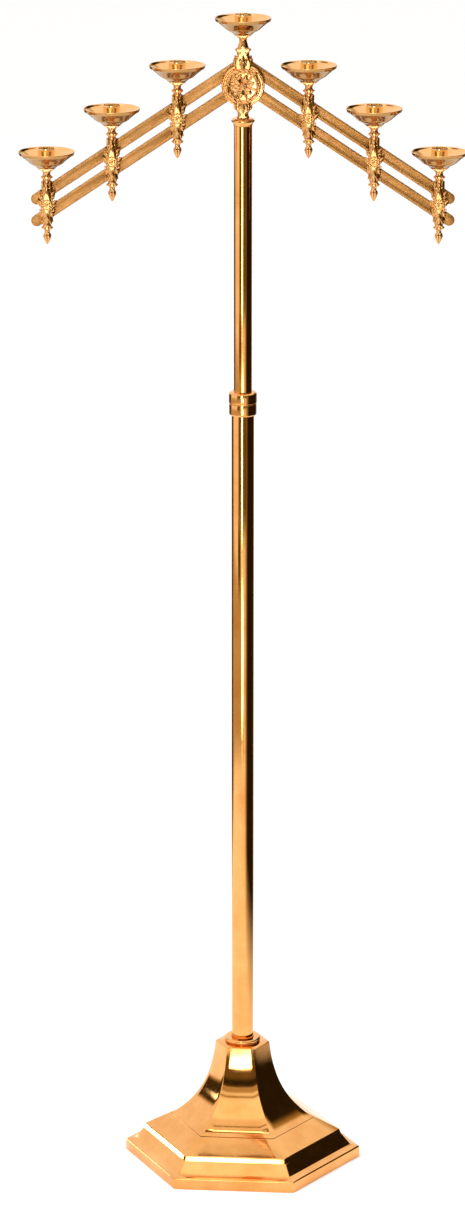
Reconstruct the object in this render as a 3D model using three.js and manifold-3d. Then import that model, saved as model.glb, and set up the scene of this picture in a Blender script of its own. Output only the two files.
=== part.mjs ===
// A seven-light church floor candelabrum in brass, in millimetres, +Z up.
// The origin is the centre of the base's underside. The arms lie in the XZ plane and -Y is the front.
// A stepped hexagonal base carries a telescoping column. Its head holds two folding arms, each a pair
// of parallel flat bars, so the upright holders pinned to both bars stay upright at every arm angle.

import * as THREE from "three";
import { mergeVertices } from "three/addons/utils/BufferGeometryUtils.js";
import Module from "manifold-3d";

const wasm = await Module();
wasm.setup();

// ---- Driving dimensions ----

const GAP = 0.3; // clearance left between touching pieces
const THROUGH = 1; // how far a cutting tool runs past the face it cuts

// Hexagonal base; its radii are taken over the corners.
const BASE_RADIUS = 173.3;
const BASE_TURN_DEG = -5; // azimuth of the corner nearest +X
const LIP_HEIGHT = 14.5;
const LEDGE_RADIUS = 161;
const LEDGE_TOP = 18.5;
const RISER_TOP_RADIUS = 145;
const RISER_TOP = 35;
const ROOF_EDGE_RADIUS = 143.5;
const ROOF_EDGE_TOP = 42;
const ROOF_TOP_RADIUS = 108;
const ROOF_TOP = 60;
const BASE_WALL = 3.5;
const PLINTH_MOUTH_RADIUS = 70;
const SPIRE_FOOT_RADIUS = 106.5;
const SPIRE_CURVE_RADIUS = 98;
const SPIRE_CURVE_FOOT = 64.2;
const SPIRE_LIMIT_RADIUS = 34.5; // radius that the spire's curve tends to
const SPIRE_DECAY = 45; // height over which the curve's flare falls to 1/e
const SPIRE_TOP = 177;
const SPIRE_STEPS = 9;
const FELT_RADIUS = 150;
const FELT_THICKNESS = 2;
const BALLAST_RADIUS = 110;
const BALLAST_FOOT = 5;

// Column
const LOWER_TUBE_RADIUS = 31.75 / 2;
const UPPER_TUBE_RADIUS = 25.4 / 2;
const TUBE_WALL = 1.5;
const BASE_COLLAR_RADIUS = 26.3;
const BASE_COLLAR_TOP = 184.7;
const LOCK_COLLAR_FOOT = 1122;
const LOCK_COLLAR_TOP = 1155.5;
const LOCK_COLLAR_RADIUS = 19.75;
const LOWER_TUBE_TOP = 1134;
const UPPER_TUBE_FOOT = 740;
const UPPER_TUBE_TOP = 1536.8;
const CAP_RADIUS = 16.25;
const CAP_TOP = 1547.3;
const GUIDE_HEIGHT = 30;
const SCREW_HEIGHT = 1145; // height of the collar's thumbscrew
const ROD_RADIUS = 4;

// Head and arms
const UPPER_PIVOT_Z = 1624;
const PIVOT_DROP = 31; // from each upper pivot to the lower pivot beneath it
const LOWER_PIVOT_Z = UPPER_PIVOT_Z - PIVOT_DROP;
const ARM_DROOP_DEG = 33.7;
const HOLDER_PITCH = 110.1; // along a bar, from pivot to pivot
const HOLDERS_PER_ARM = 3;
const BAR_WIDTH = 16;
const BAR_THICKNESS = 3;
const BAR_TAIL = 17.5; // from the last pivot to the centre of the bar's round end
const PIN_RADIUS = 3;
const CLAMP_BOLT_RADIUS = 4;
const OPEN_PIVOT_SLACK = 0.5; // radial room round the lower pins, where the linkage is opened
const CASTING_BACK = 7;
const CASTING_FRONT = -7;
const LEFT_BAR_Y = CASTING_BACK + GAP;
const RIGHT_BAR_Y = LEFT_BAR_Y + BAR_THICKNESS + GAP;
const PIN_HEAD_RADIUS = 5.5;
const PIN_HEAD_THICKNESS = 2.5;
const HUB_DISC_RADIUS = 30;
const HUB_DISC_FRONT = -4;
const MEDALLION_RADIUS = 25.5;
const MEDALLION_FRONT = -12;

// Drip pans and candle sockets; heights are measured from the pan's rim.
const PAN_RADIUS = 39.6;
const PAN_DEPTH = 24;
const PAN_WALL = 1.5;
const SOCKET_RADIUS = 12.25;
const SOCKET_BORE_RADIUS = 11.3; // takes a 7/8 inch candle
const SOCKET_PROUD = 4.6;
const SOCKET_FLOOR = 3;
const STUD_RADIUS = 3;
const SIDE_RIM_RISE = 59.5; // from a holder's upper pivot to its pan's rim
const CENTRE_RIM_RISE = 64.4;

// Facets round each kind of piece
const ROUND_SIDES = 16; // pans, sockets, knobs
const CASTING_SIDES = 12;
const PIN_SIDES = 8;
const TUBE_SIDES = 24;
const BAR_ARC_STEPS = 5; // half the facets round a bar's end or hole

// ---- Materials ----

const brass = (name, color, roughness) =>
  new THREE.MeshStandardMaterial({ name, color, roughness, metalness: 1 });
const polishedBrass = brass("polished_brass", 0xdf9a45, 0.08);
const castBrass = brass("cast_brass", 0xe0a35a, 0.18);
const barBrass = brass("bar_brass", 0xcd8c41, 0.3);
const steel = brass("steel", 0x9a9a96, 0.35);
const castIron = new THREE.MeshStandardMaterial({
  name: "cast_iron",
  color: 0x3b3a38,
  roughness: 0.75,
  metalness: 0.8,
});
const felt = new THREE.MeshStandardMaterial({
  name: "felt",
  color: 0x2f4a34,
  roughness: 1,
  metalness: 0,
});

// ---- Solid modelling helpers ----

// Turns a closed geometry into a solid, leaving out the triangles that collapse at an axis.
function solidOf(geometry) {
  const bare = geometry.clone();
  bare.deleteAttribute("normal");
  bare.deleteAttribute("uv");
  const merged = mergeVertices(bare, 1e-3);
  const triangles = [];
  for (let i = 0; i < merged.index.count; i += 3) {
    const [a, b, c] = merged.index.array.slice(i, i + 3);
    if (a !== b && b !== c && c !== a) triangles.push(a, b, c);
  }
  return new wasm.Manifold(
    new wasm.Mesh({
      numProp: 3,
      vertProperties: merged.attributes.position.array,
      triVerts: new Uint32Array(triangles),
    }),
  );
}

const group = new THREE.Group();

function addMesh(name, solid, material) {
  const made = solid.getMesh();
  const geometry = new THREE.BufferGeometry();
  const positions = new THREE.BufferAttribute(made.vertProperties, 3);
  geometry.setAttribute("position", positions);
  geometry.setIndex(new THREE.BufferAttribute(made.triVerts, 1));
  geometry.computeVertexNormals();
  const mesh = new THREE.Mesh(geometry, material.clone());
  mesh.name = name;
  group.add(mesh);
}

// Revolves a closed outline of [radius, height] points about +Z. The points run up the outside and
// down the inside, and firstAzimuth is the direction of the first facet edge, in degrees.
function revolve(outline, sides, firstAzimuth = -90) {
  const points = outline.map(([r, z]) => new THREE.Vector2(r, z));
  points.push(points[0].clone());
  const start = THREE.MathUtils.degToRad(firstAzimuth + 90);
  const geometry = new THREE.LatheGeometry(points, sides, start).rotateX(Math.PI / 2);
  return solidOf(geometry);
}

// A ring between two radii, standing on z = foot.
function ring(inner, outer, foot, top, sides) {
  return revolve([[inner, foot], [outer, foot], [outer, top], [inner, top]], sides);
}

function disc(radius, foot, top, sides) {
  return revolve([[0, foot], [radius, foot], [radius, top], [0, top]], sides);
}

// Lays a solid made along +Z down along +Y, with its foot at the given point.
const alongY = (solid, x, y, z) => solid.rotate([-90, 0, 0]).translate([x, y, z]);

function cylinderY(radius, x, z, front, back, sides = PIN_SIDES) {
  return alongY(disc(radius, 0, back - front, sides), x, front, z);
}

function slabY(front, back, low, high) {
  const box = new THREE.BoxGeometry(200, back - front, high - low);
  return solidOf(box).translate([0, (front + back) / 2, (low + high) / 2]);
}

// ---- Base ----

const hexagonal = (outline) => revolve(outline, 6, BASE_TURN_DEG);

// The corner radius of a hexagon whose flats clear a round of the given radius.
const hexagonRound = (radius) => radius / Math.cos(Math.PI / 6);

const LIP_WALL = 8;
const roofUnderside = ROOF_TOP - BASE_WALL + 0.5;
const plinthOutline = [
  [BASE_RADIUS - LIP_WALL, 0],
  [BASE_RADIUS, 0],
  [BASE_RADIUS, LIP_HEIGHT],
  [BASE_RADIUS - 2, LIP_HEIGHT + 2],
  [LEDGE_RADIUS, LEDGE_TOP],
  [LEDGE_RADIUS - 7, LEDGE_TOP + 5],
  [RISER_TOP_RADIUS, RISER_TOP],
  [RISER_TOP_RADIUS, ROOF_EDGE_TOP - 2],
  [ROOF_EDGE_RADIUS, ROOF_EDGE_TOP],
  [ROOF_TOP_RADIUS, ROOF_TOP],
  [PLINTH_MOUTH_RADIUS, ROOF_TOP],
  [PLINTH_MOUTH_RADIUS, roofUnderside],
  [ROOF_TOP_RADIUS - 1, roofUnderside],
  [RISER_TOP_RADIUS - BASE_WALL, ROOF_EDGE_TOP - BASE_WALL],
  [RISER_TOP_RADIUS - BASE_WALL, RISER_TOP - 1],
  [LEDGE_RADIUS - 7 - BASE_WALL, LEDGE_TOP + 2],
  [LEDGE_RADIUS - BASE_WALL, LEDGE_TOP - BASE_WALL],
  [BASE_RADIUS - LIP_WALL, LEDGE_TOP - BASE_WALL - 2],
];
addMesh("base_plinth", hexagonal(plinthOutline), polishedBrass);

const spireFoot = ROOF_TOP + GAP;
const SPIRE_FOOT_LAP = 10; // width of the flat that rests on the roof
const spireRadius = (z) =>
  SPIRE_LIMIT_RADIUS +
  (SPIRE_CURVE_RADIUS - SPIRE_LIMIT_RADIUS) * Math.exp((SPIRE_CURVE_FOOT - z) / SPIRE_DECAY);
const spireHeights = Array.from(
  { length: SPIRE_STEPS + 1 },
  (_, i) => SPIRE_CURVE_FOOT + ((SPIRE_TOP - 2 - SPIRE_CURVE_FOOT) * i) / SPIRE_STEPS,
);
const spireInside = spireHeights
  .filter((z) => z < SPIRE_TOP - 8)
  .reverse()
  .map((z) => [spireRadius(z) - BASE_WALL - 1, z]);
const spireOutline = [
  [SPIRE_CURVE_RADIUS - SPIRE_FOOT_LAP, spireFoot],
  [SPIRE_FOOT_RADIUS, spireFoot],
  [SPIRE_FOOT_RADIUS, spireFoot + 2],
  [SPIRE_FOOT_RADIUS - 3, SPIRE_CURVE_FOOT - 0.4],
  ...spireHeights.map((z) => [spireRadius(z), z]),
  [spireRadius(SPIRE_TOP) - 2.5, SPIRE_TOP],
  [hexagonRound(ROD_RADIUS + GAP), SPIRE_TOP],
  [hexagonRound(ROD_RADIUS + GAP), SPIRE_TOP - 6],
  [spireRadius(SPIRE_TOP) - BASE_WALL - 3, SPIRE_TOP - 6],
  ...spireInside,
];
addMesh("base_spire", hexagonal(spireOutline), polishedBrass);

const feltPad = revolve(
  [[0, 0], [FELT_RADIUS, 0], [FELT_RADIUS, FELT_THICKNESS], [0, FELT_THICKNESS]],
  6,
  BASE_TURN_DEG,
);
addMesh("base_felt", feltPad, felt);

const ballastTop = roofUnderside - GAP;
const NUT_POCKET_RADIUS = 22;
const NUT_POCKET_TOP = 18;
const ballastOutline = [
  [NUT_POCKET_RADIUS, BALLAST_FOOT],
  [BALLAST_RADIUS, BALLAST_FOOT],
  [BALLAST_RADIUS, BALLAST_FOOT + 25],
  [BALLAST_RADIUS - 25, ballastTop],
  [ROD_RADIUS + GAP, ballastTop],
  [ROD_RADIUS + GAP, NUT_POCKET_TOP],
  [NUT_POCKET_RADIUS, NUT_POCKET_TOP],
];
addMesh("ballast_weight", revolve(ballastOutline, TUBE_SIDES), castIron);

const TIE_WASHER_RADIUS = 14;
const TIE_WASHER_THICKNESS = 1.6;
const TIE_NUT_RADIUS = 8;
const TIE_NUT_HEIGHT = 7;
const washerFoot = NUT_POCKET_TOP - GAP - TIE_WASHER_THICKNESS;
const washerTop = washerFoot + TIE_WASHER_THICKNESS;
const nutFoot = washerFoot - GAP - TIE_NUT_HEIGHT;
const plugFoot = SPIRE_TOP + GAP;
const PLUG_HEIGHT = 24;
const ROD_IN_PLUG = 20;
const tieWasher = ring(ROD_RADIUS + GAP, TIE_WASHER_RADIUS, washerFoot, washerTop, ROUND_SIDES);
addMesh("tie_washer", tieWasher, steel);
const nutBore = hexagonRound(ROD_RADIUS + GAP);
addMesh("tie_nut", ring(nutBore, TIE_NUT_RADIUS, nutFoot, nutFoot + TIE_NUT_HEIGHT, 6), steel);
addMesh("tie_rod", disc(ROD_RADIUS, nutFoot - 2, plugFoot + ROD_IN_PLUG, PIN_SIDES), steel);

// ---- Column ----

const collarBore = LOWER_TUBE_RADIUS + GAP;
const baseCollarOutline = [
  [collarBore, SPIRE_TOP + GAP],
  [BASE_COLLAR_RADIUS - 1, SPIRE_TOP + GAP],
  [BASE_COLLAR_RADIUS, SPIRE_TOP + 1.5],
  [BASE_COLLAR_RADIUS, BASE_COLLAR_TOP - 2],
  [BASE_COLLAR_RADIUS - 1.5, BASE_COLLAR_TOP],
  [collarBore, BASE_COLLAR_TOP],
];
addMesh("base_collar", revolve(baseCollarOutline, TUBE_SIDES), polishedBrass);

const lowerBore = LOWER_TUBE_RADIUS - TUBE_WALL;
const upperBore = UPPER_TUBE_RADIUS - TUBE_WALL;
addMesh(
  "lower_tube",
  ring(lowerBore, LOWER_TUBE_RADIUS, plugFoot, LOWER_TUBE_TOP, TUBE_SIDES),
  polishedBrass,
);

const plugOutline = [
  [ROD_RADIUS + GAP, plugFoot],
  [lowerBore - GAP, plugFoot],
  [lowerBore - GAP, plugFoot + PLUG_HEIGHT],
  [0, plugFoot + PLUG_HEIGHT],
  [0, plugFoot + ROD_IN_PLUG + GAP],
  [ROD_RADIUS + GAP, plugFoot + ROD_IN_PLUG + GAP],
];
addMesh("tube_plug", revolve(plugOutline, TUBE_SIDES), polishedBrass);

const slideBore = UPPER_TUBE_RADIUS + GAP;
const lockCollarOutline = [
  [collarBore, LOCK_COLLAR_FOOT],
  [LOCK_COLLAR_RADIUS - 1.2, LOCK_COLLAR_FOOT],
  [LOCK_COLLAR_RADIUS, LOCK_COLLAR_FOOT + 1.2],
  [LOCK_COLLAR_RADIUS, LOCK_COLLAR_TOP - 1.2],
  [LOCK_COLLAR_RADIUS - 1.2, LOCK_COLLAR_TOP],
  [slideBore, LOCK_COLLAR_TOP],
  [slideBore, LOWER_TUBE_TOP + GAP],
  [collarBore, LOWER_TUBE_TOP + GAP],
];
const screwHole = cylinderY(PIN_RADIUS + GAP, 0, SCREW_HEIGHT, 0, LOCK_COLLAR_RADIUS + THROUGH);
const lockCollar = revolve(lockCollarOutline, TUBE_SIDES).subtract(screwHole);
addMesh("lock_collar", lockCollar, polishedBrass);

const KNOB_RADIUS = 9;
const thumbscrewOutline = [
  [0, 0],
  [PIN_RADIUS, 0],
  [PIN_RADIUS, LOCK_COLLAR_RADIUS - slideBore + GAP],
  [5, LOCK_COLLAR_RADIUS - slideBore + GAP],
  [4.2, 10],
  [KNOB_RADIUS, 12],
  [KNOB_RADIUS, 20],
  [KNOB_RADIUS - 1.5, 21.5],
  [0, 21.5],
];
const thumbscrew = revolve(thumbscrewOutline, ROUND_SIDES);
addMesh("collar_thumbscrew", alongY(thumbscrew, 0, slideBore, SCREW_HEIGHT), polishedBrass);

addMesh(
  "upper_tube",
  ring(upperBore, UPPER_TUBE_RADIUS, UPPER_TUBE_FOOT, UPPER_TUBE_TOP, TUBE_SIDES),
  polishedBrass,
);

const guideOutline = [
  [upperBore - 2, UPPER_TUBE_FOOT - 3],
  [lowerBore - GAP, UPPER_TUBE_FOOT - 3],
  [lowerBore - GAP, UPPER_TUBE_FOOT + GUIDE_HEIGHT],
  [slideBore, UPPER_TUBE_FOOT + GUIDE_HEIGHT],
  [slideBore, UPPER_TUBE_FOOT - GAP],
  [upperBore - 2, UPPER_TUBE_FOOT - GAP],
];
addMesh("guide_bush", revolve(guideOutline, TUBE_SIDES), castBrass);

const capFoot = UPPER_TUBE_TOP + GAP;
const capOutline = [
  [0, UPPER_TUBE_TOP - 22],
  [upperBore - GAP, UPPER_TUBE_TOP - 22],
  [upperBore - GAP, capFoot],
  [UPPER_TUBE_RADIUS + 0.6, capFoot],
  [UPPER_TUBE_RADIUS + 1, capFoot + 3],
  [CAP_RADIUS, capFoot + 6],
  [CAP_RADIUS, CAP_TOP - 1.5],
  [CAP_RADIUS - 1.5, CAP_TOP],
  [0, CAP_TOP],
];
addMesh("column_cap", revolve(capOutline, TUBE_SIDES), polishedBrass);

// ---- Drip pans and candle sockets ----

// The pan's slope, as [radius, drop below the rim] down the outside.
const PAN_FLOOR_RADIUS = 12.5;
const panSlope = [
  [PAN_RADIUS - 1, 2.2],
  [PAN_RADIUS - 5.4, 6.3],
  [28.6, 10.6],
  [19, 18],
];

function addPanAndSocket(name, x, rimZ) {
  const outside = panSlope.map(([r, drop]) => [r, -drop]);
  const inside = panSlope.map(([r, drop]) => [r - PAN_WALL * 0.7, -drop + PAN_WALL * 0.7]);
  const stud = STUD_RADIUS + GAP;
  const panOutline = [
    [stud, -PAN_DEPTH],
    [PAN_FLOOR_RADIUS, -PAN_DEPTH],
    ...outside.reverse(),
    [PAN_RADIUS, -PAN_WALL],
    [PAN_RADIUS, 0],
    [PAN_RADIUS - PAN_WALL, 0],
    ...inside,
    [PAN_FLOOR_RADIUS + 0.5, -PAN_DEPTH + PAN_WALL],
    [stud, -PAN_DEPTH + PAN_WALL],
  ];
  const pan = revolve(panOutline, ROUND_SIDES).translate([x, 0, rimZ]);
  addMesh(name + "_drip_pan", pan, polishedBrass);

  const foot = -PAN_DEPTH + PAN_WALL + GAP;
  const floor = foot + SOCKET_FLOOR;
  const socketOutline = [
    [stud, foot],
    [SOCKET_RADIUS, foot],
    [SOCKET_RADIUS, SOCKET_PROUD],
    [SOCKET_BORE_RADIUS, SOCKET_PROUD],
    [SOCKET_BORE_RADIUS, floor],
    [0, floor],
    [0, floor - 1],
    [stud, floor - 1],
  ];
  const socket = revolve(socketOutline, ROUND_SIDES).translate([x, 0, rimZ]);
  addMesh(name + "_candle_socket", socket, polishedBrass);
}

// The seat under a pan and the stud that holds pan and socket down; it heads each casting's outline.
function seatOutline(rimRise) {
  const seat = rimRise - PAN_DEPTH - GAP;
  const studTop = rimRise - PAN_DEPTH + PAN_WALL + SOCKET_FLOOR - 1;
  return [
    [6, seat - 4.2],
    [PAN_FLOOR_RADIUS - 0.5, seat],
    [STUD_RADIUS, seat],
    [STUD_RADIUS, studTop],
    [0, studTop],
  ];
}

// ---- Hub ----

// Outline of the hub's stem, as [radius, height above the upper pivot].
const hubFoot = CAP_TOP + GAP - UPPER_PIVOT_Z;
const hubOutline = [
  [0, hubFoot],
  [8.8, hubFoot],
  [8, hubFoot + 5],
  [12.8, -60],
  [12.8, -55],
  [10, -49],
  [10, -11],
  [13.8, -5],
  [13.8, 5],
  [9.3, 14.5],
  [11.2, 18],
  [11.2, 21],
  [6.6, 27],
  [6.4, 32],
  ...seatOutline(CENTRE_RIM_RISE),
];
const hubSlab = slabY(CASTING_FRONT - 1, CASTING_BACK, hubFoot - 1, 100);
const clampBoltHole = cylinderY(
  CLAMP_BOLT_RADIUS + GAP, 0, LOWER_PIVOT_Z, MEDALLION_FRONT, CASTING_BACK + THROUGH,
);
const hubPivotHole = cylinderY(PIN_RADIUS + GAP, 0, UPPER_PIVOT_Z, -2 - GAP, CASTING_BACK + THROUGH);
const medallionSeat = cylinderY(
  MEDALLION_RADIUS + 1, 0, LOWER_PIVOT_Z, CASTING_FRONT - 2, HUB_DISC_FRONT, TUBE_SIDES,
);
const hubDisc = cylinderY(
  HUB_DISC_RADIUS, 0, LOWER_PIVOT_Z, HUB_DISC_FRONT, CASTING_BACK, TUBE_SIDES,
);
const hubCasting = revolve(hubOutline, CASTING_SIDES)
  .intersect(hubSlab)
  .translate([0, 0, UPPER_PIVOT_Z])
  .subtract(medallionSeat)
  .add(hubDisc)
  .subtract(clampBoltHole)
  .subtract(hubPivotHole);
addMesh("hub_casting", hubCasting, castBrass);

const medallionThickness = HUB_DISC_FRONT - GAP - MEDALLION_FRONT;
const BOLT_IN_MEDALLION = 4;
const medallionOutline = [
  [0, 1.5],
  [5, 0],
  [8, 2.5],
  [MEDALLION_RADIUS - 8, 2],
  [MEDALLION_RADIUS - 4, 0.5],
  [MEDALLION_RADIUS, 3],
  [MEDALLION_RADIUS, medallionThickness],
  [CLAMP_BOLT_RADIUS + GAP, medallionThickness],
  [CLAMP_BOLT_RADIUS + GAP, medallionThickness - BOLT_IN_MEDALLION],
  [0, medallionThickness - BOLT_IN_MEDALLION],
];
const medallion = revolve(medallionOutline, TUBE_SIDES);
addMesh("centre_medallion", alongY(medallion, 0, MEDALLION_FRONT, LOWER_PIVOT_Z), castBrass);

const washerY = RIGHT_BAR_Y + BAR_THICKNESS + GAP;
const WASHER_THICKNESS = 1.2;
const WASHER_RADIUS = 8;
const nutY = washerY + WASHER_THICKNESS + GAP;
for (const [name, z, radius] of [
  ["upper_pivot_washer", UPPER_PIVOT_Z, PIN_RADIUS],
  ["arm_clamp_washer", LOWER_PIVOT_Z, CLAMP_BOLT_RADIUS],
]) {
  const washer = ring(radius + GAP, WASHER_RADIUS, 0, WASHER_THICKNESS, ROUND_SIDES);
  addMesh(name, alongY(washer, 0, washerY, z), polishedBrass);
}

const ACORN_HEIGHT = 8.5;
const acornOutline = [
  [PIN_RADIUS + GAP, 0],
  [6.2, 0],
  [6.2, 4.5],
  [4.5, 7.4],
  [0, ACORN_HEIGHT],
  [0, 5.5],
  [PIN_RADIUS + GAP, 5.5],
];
addMesh(
  "upper_pivot_nut",
  alongY(revolve(acornOutline, PIN_SIDES), 0, nutY, UPPER_PIVOT_Z),
  polishedBrass,
);
addMesh("upper_pivot_bolt", cylinderY(PIN_RADIUS, 0, UPPER_PIVOT_Z, -2, nutY + 5.2), steel);

const CLAMP_NUT_RADIUS = 11;
const CLAMP_NUT_LENGTH = 12;
const clampNutOutline = [
  [CLAMP_BOLT_RADIUS + GAP, 0],
  [7, 0],
  [7, 3],
  [CLAMP_NUT_RADIUS, 4],
  [CLAMP_NUT_RADIUS, CLAMP_NUT_LENGTH - 1.5],
  [CLAMP_NUT_RADIUS - 1.5, CLAMP_NUT_LENGTH],
  [CLAMP_BOLT_RADIUS + GAP, CLAMP_NUT_LENGTH],
];
addMesh(
  "arm_clamp_nut",
  alongY(revolve(clampNutOutline, ROUND_SIDES), 0, nutY, LOWER_PIVOT_Z),
  polishedBrass,
);
addMesh(
  "arm_clamp_bolt",
  cylinderY(
    CLAMP_BOLT_RADIUS,
    0,
    LOWER_PIVOT_Z,
    HUB_DISC_FRONT - BOLT_IN_MEDALLION,
    nutY + CLAMP_NUT_LENGTH + 2,
  ),
  steel,
);
addPanAndSocket("centre", 0, UPPER_PIVOT_Z + CENTRE_RIM_RISE);

// ---- Arms ----

// A flat bar along +X from its hub pivot, standing on z = 0, with a hole at each pivot.
function barSolid(hubHole, pinHole) {
  const half = BAR_WIDTH / 2;
  const end = HOLDERS_PER_ARM * HOLDER_PITCH + BAR_TAIL;
  const shape = new THREE.Shape();
  shape.absarc(0, 0, half, Math.PI / 2, (3 * Math.PI) / 2, false);
  shape.absarc(end, 0, half, -Math.PI / 2, Math.PI / 2, false);
  shape.closePath();
  for (let i = 0; i <= HOLDERS_PER_ARM; i++) {
    const hole = new THREE.Path();
    hole.absarc(i * HOLDER_PITCH, 0, i === 0 ? hubHole : pinHole, 0, 2 * Math.PI, true);
    shape.holes.push(hole);
  }
  const options = { depth: BAR_THICKNESS, bevelEnabled: false, curveSegments: BAR_ARC_STEPS };
  return solidOf(new THREE.ExtrudeGeometry(shape, options));
}

const upperBar = barSolid(PIN_RADIUS + GAP, PIN_RADIUS + GAP);
const lowerBar = barSolid(CLAMP_BOLT_RADIUS + GAP, PIN_RADIUS + OPEN_PIVOT_SLACK);

// Outline of a side holder, as [radius, height above its upper pivot], from the finial's tip up.
const holderOutline = [
  [0, -73],
  [5.8, -60],
  [4, -55.5],
  [4.5, -51.5],
  [8, -48.5],
  [6, -44],
  [6, -38],
  [11.4, -18],
  [11.4, -12],
  [6.4, 13],
  [6.4, 20],
  [8.3, 23],
  [5.2, 27],
  ...seatOutline(SIDE_RIM_RISE),
];
const ROSETTE_RADIUS = 8.2;
const ROSETTE_FRONT = -9.5;
const rosette = cylinderY(
  ROSETTE_RADIUS, 0, -PIVOT_DROP / 2, ROSETTE_FRONT, CASTING_FRONT + 2, CASTING_SIDES,
);
const holderSlab = slabY(CASTING_FRONT, CASTING_BACK, -80, 80);
const PIN_FRONT = 2;
const pinBores = [0, -PIVOT_DROP].map((z) =>
  cylinderY(PIN_RADIUS + GAP, 0, z, PIN_FRONT - GAP, CASTING_BACK + THROUGH),
);
const holderSolid = revolve(holderOutline, CASTING_SIDES)
  .intersect(holderSlab)
  .add(rosette)
  .subtract(pinBores[0])
  .subtract(pinBores[1]);

// A riveted pin: its shoulder fills the space between the casting and a bar of the rear layer.
function pinSolid(barY) {
  const head = barY + BAR_THICKNESS + GAP - PIN_FRONT;
  const shoulder = barY - GAP - PIN_FRONT;
  const shoulderFoot = CASTING_BACK + GAP - PIN_FRONT;
  const shoulderOutline =
    shoulder > shoulderFoot + 1
      ? [
          [PIN_RADIUS, shoulderFoot],
          [PIN_HEAD_RADIUS, shoulderFoot],
          [PIN_HEAD_RADIUS, shoulder],
          [PIN_RADIUS, shoulder],
        ]
      : [];
  return revolve(
    [
      [0, 0],
      [PIN_RADIUS, 0],
      ...shoulderOutline,
      [PIN_RADIUS, head],
      [PIN_HEAD_RADIUS, head],
      [PIN_HEAD_RADIUS - 1, head + PIN_HEAD_THICKNESS],
      [0, head + PIN_HEAD_THICKNESS],
    ],
    PIN_SIDES,
  );
}

const HOLDER_NAMES = ["inner", "middle", "outer"];
const droop = THREE.MathUtils.degToRad(ARM_DROOP_DEG);
for (const [side, direction, barY] of [
  ["left", -1, LEFT_BAR_Y],
  ["right", 1, RIGHT_BAR_Y],
]) {
  const turn = direction > 0 ? ARM_DROOP_DEG : 180 - ARM_DROOP_DEG;
  for (const [level, bar, pivotZ] of [
    ["upper", upperBar, UPPER_PIVOT_Z],
    ["lower", lowerBar, LOWER_PIVOT_Z],
  ]) {
    const placed = bar
      .rotate([90, 0, 0])
      .translate([0, BAR_THICKNESS, 0])
      .rotate([0, turn, 0])
      .translate([0, barY, pivotZ]);
    addMesh(`${side}_${level}_bar`, placed, barBrass);
  }
  HOLDER_NAMES.slice(0, HOLDERS_PER_ARM).forEach((place, i) => {
    const reach = (i + 1) * HOLDER_PITCH;
    const x = direction * reach * Math.cos(droop);
    const z = UPPER_PIVOT_Z - reach * Math.sin(droop);
    const name = `${side}_${place}`;
    addMesh(name + "_holder", holderSolid.translate([x, 0, z]), castBrass);
    addMesh(name + "_upper_pin", alongY(pinSolid(barY), x, PIN_FRONT, z), polishedBrass);
    addMesh(
      name + "_lower_pin",
      alongY(pinSolid(barY), x, PIN_FRONT, z - PIVOT_DROP),
      polishedBrass,
    );
    addPanAndSocket(name, x, z + SIDE_RIM_RISE);
  });
}

export default group;
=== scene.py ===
import math

import bmesh
import bpy
from mathutils import Matrix, Vector


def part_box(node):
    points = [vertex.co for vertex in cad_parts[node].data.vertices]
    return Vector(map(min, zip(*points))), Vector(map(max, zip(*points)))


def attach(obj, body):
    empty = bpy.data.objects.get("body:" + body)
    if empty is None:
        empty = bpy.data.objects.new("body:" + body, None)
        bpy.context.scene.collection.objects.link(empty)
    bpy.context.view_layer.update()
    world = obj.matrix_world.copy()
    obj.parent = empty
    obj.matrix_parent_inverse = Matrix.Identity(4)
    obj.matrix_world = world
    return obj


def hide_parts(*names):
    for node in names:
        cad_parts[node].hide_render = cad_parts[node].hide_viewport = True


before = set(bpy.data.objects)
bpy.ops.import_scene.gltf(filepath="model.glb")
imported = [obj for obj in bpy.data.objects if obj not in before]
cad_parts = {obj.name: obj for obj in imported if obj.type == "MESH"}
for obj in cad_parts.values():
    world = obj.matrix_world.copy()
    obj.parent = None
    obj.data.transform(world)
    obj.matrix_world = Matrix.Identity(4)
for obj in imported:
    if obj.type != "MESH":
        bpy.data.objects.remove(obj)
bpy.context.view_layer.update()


# ---- Hexagonal plinth ----
# The plinth is a hollow brass casting with a lip, a ledge, a hollow riser and a sloping roof.
# Its faces are ground flat, mitred at six softened corners, polished to a mirror and lacquered.

MM = 0.001
POLISHED = (0.93, 0.47, 0.155)
POLISHED_DEEP = (0.80, 0.34, 0.085)
LACQUER = 0.12
LACQUER_ROUGHNESS = 0.06
LACQUER_IOR = 1.45
NOISE_LOW = 0.3
NOISE_HIGH = 0.7


def node(tree, kind, **settings):
    """A node of a kind, with its sockets and properties set by name."""
    made = tree.nodes.new(kind)
    for key, value in settings.items():
        if key in made.inputs:
            made.inputs[key].default_value = value
        else:
            setattr(made, key, value)
    return made


def blend_colours(tree, share, low, high):
    """A colour between two, by a share that a socket gives."""
    mix = node(tree, "ShaderNodeMix", data_type="RGBA")
    tree.links.new(share, mix.inputs[0])
    mix.inputs[6].default_value = (*low, 1)
    mix.inputs[7].default_value = (*high, 1)
    return mix.outputs[2]


def spread(tree, share, low, high):
    """A number between two, as a noise pattern goes from its low values to its high ones."""
    ranged = node(tree, "ShaderNodeMapRange")
    tree.links.new(share, ranged.inputs["Value"])
    ranged.inputs["From Min"].default_value = NOISE_LOW
    ranged.inputs["From Max"].default_value = NOISE_HIGH
    ranged.inputs["To Min"].default_value = low
    ranged.inputs["To Max"].default_value = high
    return ranged.outputs["Result"]


def new_material(name, metallic=0.0):
    """A material, its node tree and its shader, which has yet to get a colour and a relief."""
    material = bpy.data.materials.new(name)
    material.use_nodes = True
    tree = material.node_tree
    shader = tree.nodes["Principled BSDF"]
    shader.inputs["Metallic"].default_value = metallic
    return material, tree, shader


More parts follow.
